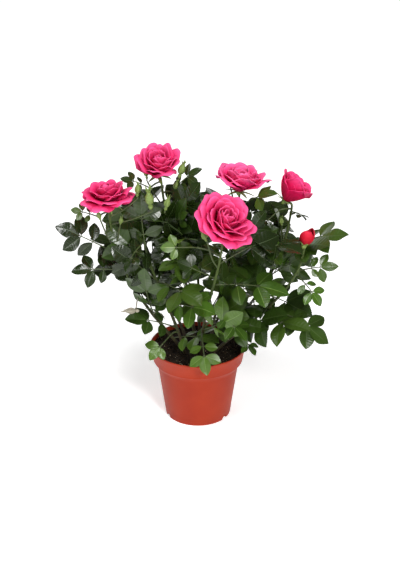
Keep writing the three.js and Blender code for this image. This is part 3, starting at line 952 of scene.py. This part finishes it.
def build_canes(rings, limbs, tops, rng, bark):
    """Bark mesh of every cane and bough: nodes, streaky relief and prickles."""
    cane_lines = np.vstack([smooth_path(rings[name][0], LIMB_STEPS) for name in CANES])
    heap = Heap()
    for name, (centres, radii) in rings.items():
        points = list(centres)
        if name in CANES:
            points[0] = points[0] - UP * 2 * MM
        if name in tops:
            points.append(tops[name])
            radii = np.append(radii, radii[-1] * 0.9)
        if name in BOUGHS:
            points.insert(0, nearest(cane_lines, points[0]))
            radii = np.insert(radii, 0, radii[0])
        count = CANE_RINGS if name in CANES else BOUGH_RINGS
        path = smooth_path(points, count)
        width = np.interp(np.linspace(0, 1, count), np.linspace(0, 1, len(radii)), radii)
        if name not in tops:
            end = int(np.argmin(distances(path, limbs[name][-1])))
            path, width, count = path[: end + 1], width[: end + 1], end + 1
        every = rng.uniform(9, 13)
        knots = 1 + KNOT_SWELL * np.exp(-((np.arange(count) % every) - 2) ** 2 / 0.8)
        lumps = np.ones((count, CANE_ROUND))
        for i in range(count):
            for j in range(CANE_ROUND):
                spot = Vector((j * 0.9, i * 0.22, width[i] * 900))
                lumps[i, j] = knots[i] * (1 + BARK_RELIEF * noise.noise(spot))
        add_tube(heap, path, width, CANE_ROUND, lumps)
        add_prickles(heap, path, width, rng, PRICKLES if name in CANES else BOUGH_PRICKLES)
    piece = heap.build("canes_bark", [bark])
    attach(piece, "root")
    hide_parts(*rings)


def add_prickles(heap, path, width, rng, count):
    """Small hooked prickles that point a little down the cane."""
    for _ in range(count):
        i = int(rng.integers(4, len(path) - 6))
        along = unit(path[i + 1] - path[i])
        out = turned(square_to(np.array([1.0, 0.2, 0.1]), along), along, rng.uniform(0, 6.28))
        length = rng.uniform(1.6, 2.6) * MM
        foot = path[i] + out * width[i] * 0.8
        shares = np.array([0, 0.45, 1.0])[:, None]
        line = foot + out * length * shares - along * length * 0.4 * shares**2
        add_tube(heap, line, np.array([0.75, 0.4, 0.06]) * MM, 6)


# ---- Pot and peat ----

POT_ROUND = 128
POT_TAPER = 18.4  # millimetres that the foot's radius is less than the rim's
NOTCH_ANGLES = (-35, 85, 205)
NOTCH_SIZE = (14 * MM, 9 * MM, 9 * MM)


def pot_profile():
    """Half section of the pot, from the axis under the floor round to the axis above it."""
    low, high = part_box("pot")
    height = (high.z - low.z) / MM
    rim = (high.x - low.x) / 2 / MM
    foot = rim - POT_TAPER
    outside = [(0, 0.8), (foot - 5, 0.8), (foot - 4.2, 0), (foot - 0.9, 0)]
    outside += [(foot - 0.15, 0.5), (foot, 1.4), (rim - 9.1, 69), (rim - 7.9, 69.4)]
    outside += [(rim - 7.7, 70.4), (rim - 7, 72.2), (rim - 5.9, 74.2), (rim - 5.2, 75.6)]
    outside += [(rim - 3.8, 76.1), (rim - 3.5, 76.6), (rim - 3.45, 77.4)]
    outside += [(rim - 0.45, height - 1.9), (rim, height - 1.5), (rim, height - 0.4)]
    outside += [(rim - 0.35, height)]
    inside = [(rim - 1.1, height), (rim - 1.3, height - 0.5), (rim - 4.7, 77.4), (rim - 6.4, 75)]
    inside += [(rim - 10.1, 69.6), (foot - 1.2, 2), (0, 2)]
    return [(r * MM, z * MM) for r, z in outside + inside]


def lathe(profile, sides):
    """A form turned about +Z from a half section that starts and ends on the axis."""
    turns = circle(sides)
    rings = [(r, z) for r, z in profile if r > 0]
    points = [(r * math.cos(t), r * math.sin(t), z) for r, z in rings for t in turns]
    points += [(0, 0, profile[0][1]), (0, 0, profile[-1][1])]
    heap = Heap()
    heap.add(points, closed_faces(len(rings), sides))
    return heap


def build_pot():
    pot = lathe(pot_profile(), POT_ROUND).build("pot_shell", [pot_material()])
    for angle in NOTCH_ANGLES:
        cut_notch(pot, math.radians(angle))
    edge = pot.modifiers.new("edge", "EDGE_SPLIT")
    edge.split_angle = math.radians(50)
    apply_modifiers(pot)
    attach(pot, "root")
    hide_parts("pot")


def cut_notch(pot, angle):
    """Cuts one drain notch with rounded corners through the edge of the foot."""
    low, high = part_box("pot")
    foot = (high.x - low.x) / 2 - POT_TAPER * MM
    mesh = bpy.data.meshes.new("notch")
    form = bmesh.new()
    bmesh.ops.create_cube(form, size=1)
    shape = Matrix.Diagonal((*NOTCH_SIZE, 1))
    place = Matrix.Rotation(angle, 4, "Z") @ Matrix.Translation((foot, 0, 0)) @ shape
    bmesh.ops.transform(form, matrix=place, verts=form.verts)
    bmesh.ops.bevel(form, geom=form.edges, offset=1.2 * MM, segments=3, affect="EDGES")
    form.to_mesh(mesh)
    form.free()
    cutter = new_object("notch", mesh)
    cut = pot.modifiers.new("notch", "BOOLEAN")
    cut.operation = "DIFFERENCE"
    cut.object = cutter
    cut.solver = "EXACT"
    apply_modifiers(pot)
    bpy.data.objects.remove(cutter)


def apply_modifiers(piece):
    """Makes the result of a piece's modifiers its own mesh."""
    graph = bpy.context.evaluated_depsgraph_get()
    graph.update()
    mesh = bpy.data.meshes.new_from_object(piece.evaluated_get(graph))
    piece.modifiers.clear()
    piece.data = mesh


PEAT_SLACK = 3 * MM  # the peat stands this far inside the wall, below its edge
PEAT_DIP = 1.6 * MM  # its top is lower at the wall by this much
PEAT_RELIEF = ((60, 0.5, 1.2), (260, 3.5, 1.0), (700, 7.5, 0.5))  # scale, layer, height in mm
# Dark crumbs, then pale specks: how many, the smallest and the largest in millimetres.
LOOSE_BITS = ((1500, 0.5, 1.7), (170, 0.3, 0.8))


def peat_wall():
    """Radius and height of the peat where it meets the pot, from the foot up to its edge."""
    points = node_points("soil")
    radii = np.hypot(points[:, 0], points[:, 1])
    edge = points[np.argmax(radii), 2]
    outer = points[(radii > radii.max() * 0.6) & (points[:, 2] < edge + 0.1 * MM)]
    heights = np.unique(np.round(outer[:, 2], 4))
    wall = [(radii[np.abs(points[:, 2] - z) < 0.1 * MM].max() - PEAT_SLACK, z) for z in heights]
    return wall[:-1] + [(radii.max() - 0.2 * MM, edge)]


def build_peat(rng):
    """Crumbly peat: a rough top inside the pot's wall, loose crumbs and pale specks."""
    wall = peat_wall()
    radius = wall[-1][0]
    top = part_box("soil")[1].z - 1.5 * MM
    heap = Heap()
    rings, sides = 44, 128
    turns = circle(sides)
    points = [(0, 0, top)]
    for i in range(1, rings + 1):
        r = radius * i / rings
        for t in turns:
            x, y = r * math.cos(t), r * math.sin(t)
            relief = sum(h * noise.noise(Vector((x * k, y * k, layer))) for k, layer, h in PEAT_RELIEF)
            points.append((x, y, top + relief * MM - PEAT_DIP * (r / radius) ** 4))
    for r, z in reversed(wall[:-1]):
        points += [(r * math.cos(t), r * math.sin(t), z) for t in turns]
    points.append((0, 0, wall[0][1]))
    faces = [(0, 1 + j, 1 + (j + 1) % sides) for j in range(sides)]
    levels = rings + len(wall) - 1
    for i in range(levels - 1):
        for j in range(sides):
            a, b = 1 + i * sides + j, 1 + i * sides + (j + 1) % sides
            faces.append((a, a + sides, b + sides, b))
    last = 1 + (levels - 1) * sides
    faces += [(len(points) - 1, last + (j + 1) % sides, last + j) for j in range(sides)]
    heap.add(points, faces)
    for paint, (count, least, most) in enumerate(LOOSE_BITS):
        for _ in range(count):
            add_crumb(heap, rng, radius, top, paint, rng.uniform(least, most) * MM)
    pale = plain_material("pale_specks", linear(176, 160, 132), 0.8)
    peat = heap.build("peat_top", [peat_material(), pale])
    peat.data.polygons.foreach_set("use_smooth", [False] * len(peat.data.polygons))
    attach(peat, "root")
    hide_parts("soil")


def add_crumb(heap, rng, radius, top, paint, size):
    """An uneven eight-faced crumb lying on the peat."""
    r = radius * 0.985 * math.sqrt(rng.random())
    t = rng.uniform(0, 2 * math.pi)
    centre = np.array([r * math.cos(t), r * math.sin(t), top + rng.uniform(-0.6, 0.9) * MM])
    centre[2] -= PEAT_DIP * (r / radius) ** 4
    corners = np.array([(1, 0, 0), (-1, 0, 0), (0, 1, 0), (0, -1, 0), (0, 0, 1), (0, 0, -1)])
    corners = corners * rng.uniform(0.5, 1.3, (6, 1)) * size
    spin = axes_about(unit(rng.normal(0, 1, 3)))
    faces = [(0, 2, 4), (2, 1, 4), (1, 3, 4), (3, 0, 4), (2, 0, 5), (1, 2, 5), (3, 1, 5), (0, 3, 5)]
    heap.add(centre + corners @ spin, faces, paint)


# ---- Assembly ----


def build_foliage(limbs, stalks, rng):
    """All leaves, joined into the foliage pieces. Each mass has its own seed."""
    materials = leaf_materials()
    shapes = [leaflet(rng) for _ in range(LEAFLET_SHAPES)]
    free = list(MASSES)
    for piece_name, starts in FOLIAGE_PIECES.items():
        foliage = Heap()
        members = [name for name in free if name.startswith(starts)]
        free = [name for name in free if name not in members]
        for name in members:
            own_rng = np.random.default_rng([FOLIAGE_SEED, MASSES.index(name)])
            leaf_on_mass(name, limbs, foliage, stalks, shapes, own_rng)
        piece = foliage.build(piece_name, materials)
        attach(piece, "root")
        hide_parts(*members)


def build_plant():
    """Blooms, leaves, buds and canes, from one seed in this order."""
    rng = np.random.default_rng(7)
    rings = all_limb_rings()
    limbs = {name: smooth_path(centres, LIMB_STEPS) for name, (centres, _) in rings.items()}
    greens, stalks = Heap(), Heap()
    hues = {hue: petal_material(hue) for hue in PETAL_HUES}
    tops = {}
    for name in BLOOMS:
        top = build_bloom(name, rng, [hues[BLOOMS[name]["hue"]]], greens)
        tops.update({cane: top for cane, load in LOADS.items() if load == name})
    build_foliage(limbs, stalks, rng)
    build_buds(greens, stalks, limbs, rng)
    build_dried_bud(limbs, rng)
    build_canes(rings, limbs, tops, rng, bark_material())
    calyx = plain_material("calyx_green", linear(110, 130, 62), 0.5)
    stalk = plain_material("stalk_green", linear(60, 72, 32), 0.5)
    green_piece = greens.build("buds_and_sepals", [calyx])
    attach(green_piece, "root")
    stalk_piece = stalks.build("leaf_stalks", [stalk])
    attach(stalk_piece, "root")


# ---- Lights and camera ----

# Soft square lights: place, side and power. They look at the middle of the plant.
LIGHTS = {
    "key": ((0.7, -1.6, 1.2), 0.42, 24),
    "fill": ((-1.2, -1.5, 0.6), 0.8, 5),
    "top": ((-0.15, -0.5, 1.6), 0.5, 16),
    "back": ((-0.9, 1.5, 1.0), 0.9, 7),
}
MIDDLE_OF_PLANT = Vector((0, 0, 0.2))
WHITE = (1, 1, 1, 1)
# The floor's own glow: distances from the pot, and its strength at each.
GLOW = {"From Min": 0.3, "From Max": 1.8, "To Min": 0.55, "To Max": 0.85}

# The view of the photo, as fitted to the pot's rim, shoulder and foot.
CAMERA_PLACE = (0.0026, -1.3003, 0.7978)
CAMERA_DIPS = 25.51  # degrees below the level
CAMERA_LENS = 74.1
SENSOR_WIDTH = 36


def build_stage():
    """White floor that fades into a white backdrop, with four soft lights."""
    bpy.ops.mesh.primitive_plane_add(size=14)
    floor = bpy.context.object
    floor.name = "floor"
    white = plain_material("floor_white", (0.9, 0.9, 0.9, 1), 0.9, specular=0.1)
    nodes = Nodes(white)
    nodes.shader.inputs["Emission Color"].default_value = WHITE
    place = nodes.add("ShaderNodeTexCoord")
    away = nodes.add("ShaderNodeVectorMath", operation="LENGTH")
    glow = nodes.add("ShaderNodeMapRange", **GLOW)
    nodes.link(place, "Object", away, 0)
    nodes.link(away, "Value", glow, "Value")
    nodes.link(glow, "Result", nodes.shader, "Emission Strength")
    floor.data.materials.append(white)
    bpy.context.scene.world = studio_world()
    for name, (place, side, power) in LIGHTS.items():
        lamp = bpy.data.lights.new(name, "AREA")
        lamp.size = side
        lamp.energy = power
        light = new_object(name, lamp)
        light.location = place
        light.rotation_euler = (MIDDLE_OF_PLANT - Vector(place)).to_track_quat("-Z", "Y").to_euler()


def studio_world():
    """White near the horizon and dim overhead."""
    world = bpy.data.worlds.new("studio")
    world.use_nodes = True
    nodes = Nodes(world)
    place = nodes.add("ShaderNodeTexCoord")
    split = nodes.add("ShaderNodeSeparateXYZ")
    ramp = nodes.ramp([(0.1, WHITE), (0.26, (0.1, 0.1, 0.1, 1))])
    nodes.link(place, "Generated", split, 0)
    nodes.link(split, "Z", ramp, "Fac")
    nodes.link(ramp, "Color", nodes.tree.nodes["Background"], "Color")
    return world


def build_camera():
    """A long lens, a little above the plant and looking down on it."""
    lens = bpy.data.cameras.new("camera")
    lens.lens = CAMERA_LENS
    lens.sensor_width = SENSOR_WIDTH
    camera = new_object("camera", lens)
    camera.location = CAMERA_PLACE
    camera.rotation_euler = (math.radians(90 - CAMERA_DIPS), 0, 0)
    bpy.context.scene.camera = camera
    bpy.context.scene.view_settings.view_transform = "Standard"


build_camera()
build_stage()
build_pot()
build_peat(np.random.default_rng(3))
build_plant()
